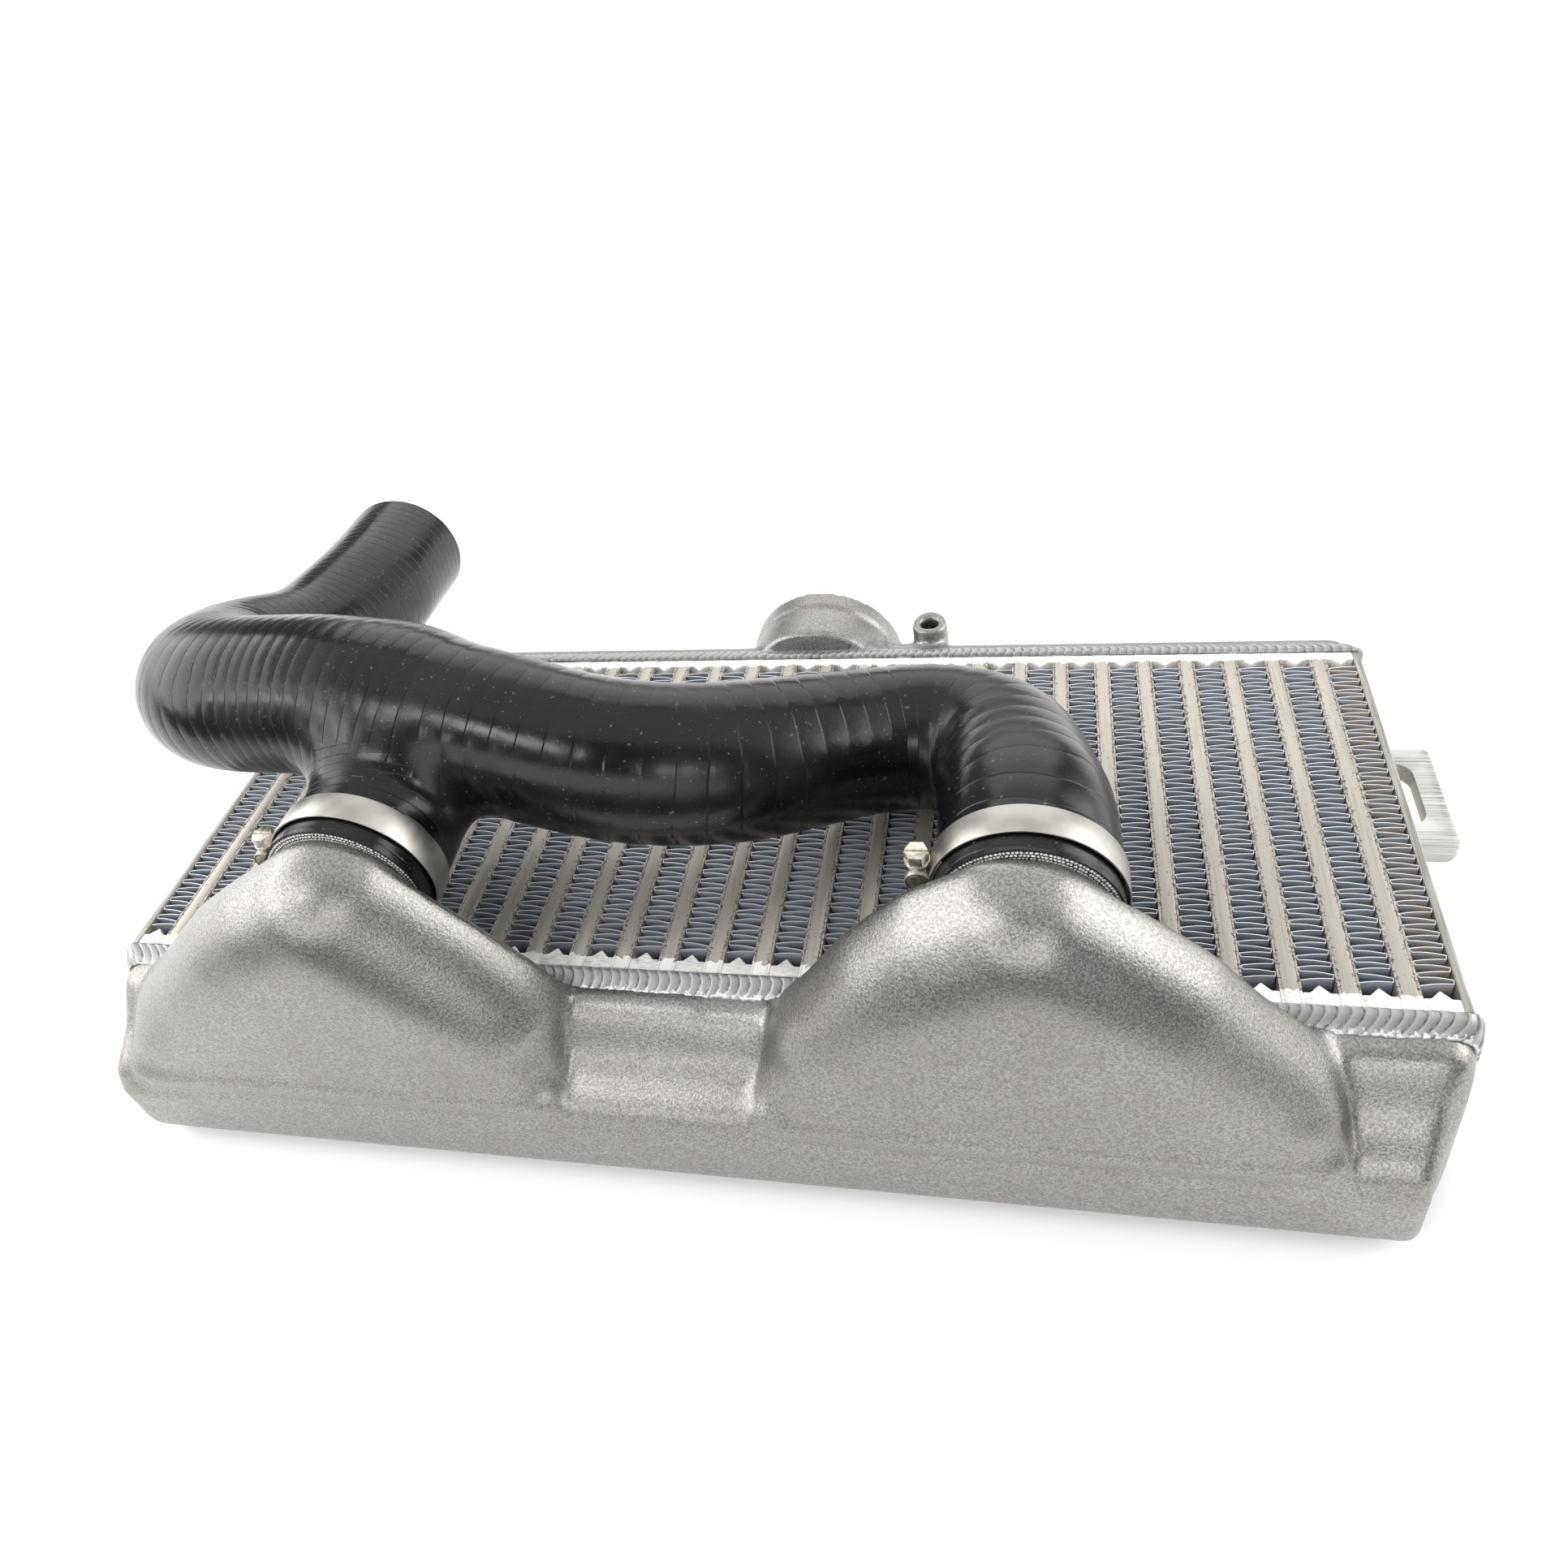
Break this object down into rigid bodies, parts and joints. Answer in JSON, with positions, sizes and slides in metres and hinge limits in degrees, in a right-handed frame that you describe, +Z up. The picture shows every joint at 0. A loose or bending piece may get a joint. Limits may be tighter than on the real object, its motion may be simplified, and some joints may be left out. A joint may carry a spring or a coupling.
{
  "type": "intercooler",
  "caption": "Bar-and-plate charge-air cooler with a cast inlet tank of two necks, a cast outlet tank, and a moulded Y hose held by band clamps.",
  "frame": {"origin": "middle of the core's lower face, which the cooler lies on", "axes": "+X along the core, +Y from the inlet tank to the outlet tank, +Z up through the core, the way the hose lies"},
  "size_m": [0.5377, 0.2817, 0.1854],
  "materials": {
    "core_aluminium": "brazed mill finish, matt",
    "fin_aluminium": "brazed folded sheet",
    "cast_aluminium": "sand cast, bead blasted",
    "weld_aluminium": "TIG bead as welded",
    "milled_aluminium": "milled, fine tool lines",
    "silicone": "wrapped silicone, glossy",
    "stainless_band": "rolled stainless strip",
    "zinc_steel": "zinc plated"
  },
  "bodies": {
    "root": {"tube_bars": "core_aluminium", "parting_sheets": "core_aluminium", "front_header_bars": "core_aluminium", "rear_header_bars": "core_aluminium", "left_side_plate": "core_aluminium", "right_side_plate": "core_aluminium", "air_fins": "fin_aluminium", "turbulator_fins": "fin_aluminium", "inlet_tank": "cast_aluminium", "outlet_tank": "cast_aluminium", "inlet_tank_weld": "weld_aluminium", "outlet_tank_weld": "weld_aluminium", "bracket_weld": "weld_aluminium", "mounting_bracket": "milled_aluminium", "y_hose": "silicone", "left_clamp_band": "stainless_band", "left_clamp_bridge": "stainless_band", "left_clamp_trunnion": "zinc_steel", "left_clamp_nut": "zinc_steel", "left_clamp_screw": "zinc_steel", "right_clamp_band": "stainless_band", "right_clamp_bridge": "stainless_band", "right_clamp_trunnion": "zinc_steel", "right_clamp_nut": "zinc_steel", "right_clamp_screw": "zinc_steel"}
  },
  "joints": []
}
